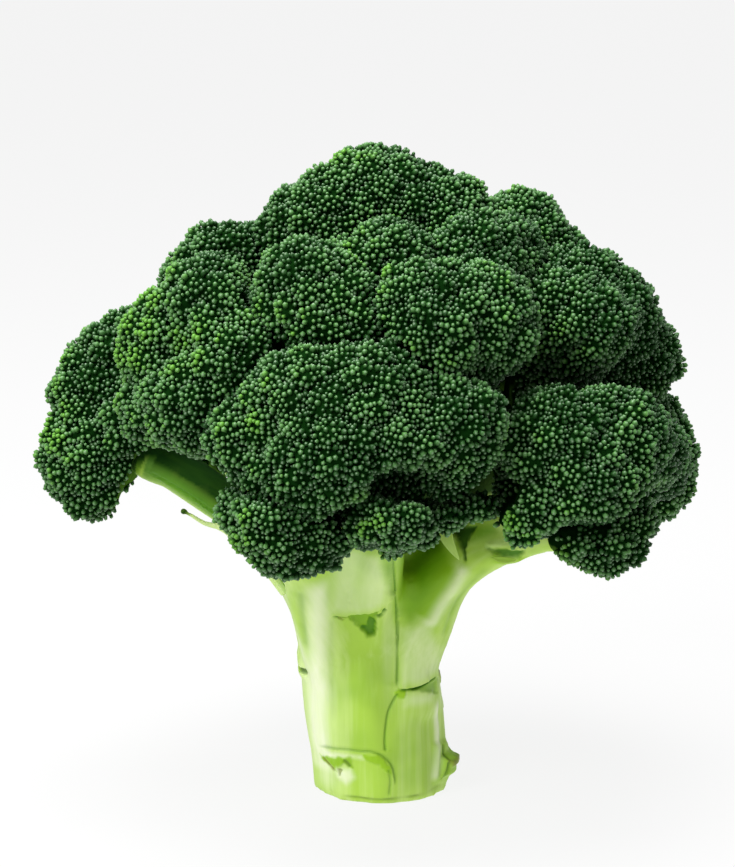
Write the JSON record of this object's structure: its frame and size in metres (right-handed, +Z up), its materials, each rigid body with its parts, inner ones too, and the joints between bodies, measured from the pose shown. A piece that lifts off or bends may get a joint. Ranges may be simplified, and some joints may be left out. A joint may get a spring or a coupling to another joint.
{
  "type": "broccoli head",
  "caption": "Whole fresh broccoli head standing on its flat cut stalk, with a thick forked stalk and domed green florets.",
  "frame": {"origin": "in the flat cut face at the foot of the stalk, on the trunk's axis", "axes": "+Z up along the stalk towards the crown, -Y towards the front of the head, +X to the right seen from the front"},
  "size_m": [0.1759, 0.1642, 0.1734],
  "materials": {
    "stalk_green": "satin",
    "stub_green": "satin",
    "bud_green": "matte"
  },
  "bodies": {
    "root": {"floret_back": "bud_green", "floret_back_left": "bud_green", "floret_back_left_low": "bud_green", "floret_back_low": "bud_green", "floret_back_right": "bud_green", "floret_back_right_low": "bud_green", "floret_far_left": "bud_green", "floret_front": "bud_green", "floret_front_left_low": "bud_green", "floret_front_low": "bud_green", "floret_front_right": "bud_green", "floret_front_right_low": "bud_green", "floret_left": "bud_green", "floret_middle_left": "bud_green", "floret_middle_right": "bud_green", "floret_right": "bud_green", "floret_top": "bud_green", "floret_top_back": "bud_green", "floret_top_back_right": "bud_green", "floret_top_front": "bud_green", "floret_top_left": "bud_green", "floret_top_right": "bud_green", "leaf_stub_branch": "stub_green", "leaf_stub_fork": "stub_green", "side_sprig": "stub_green", "stalk": "stalk_green"}
  },
  "joints": []
}
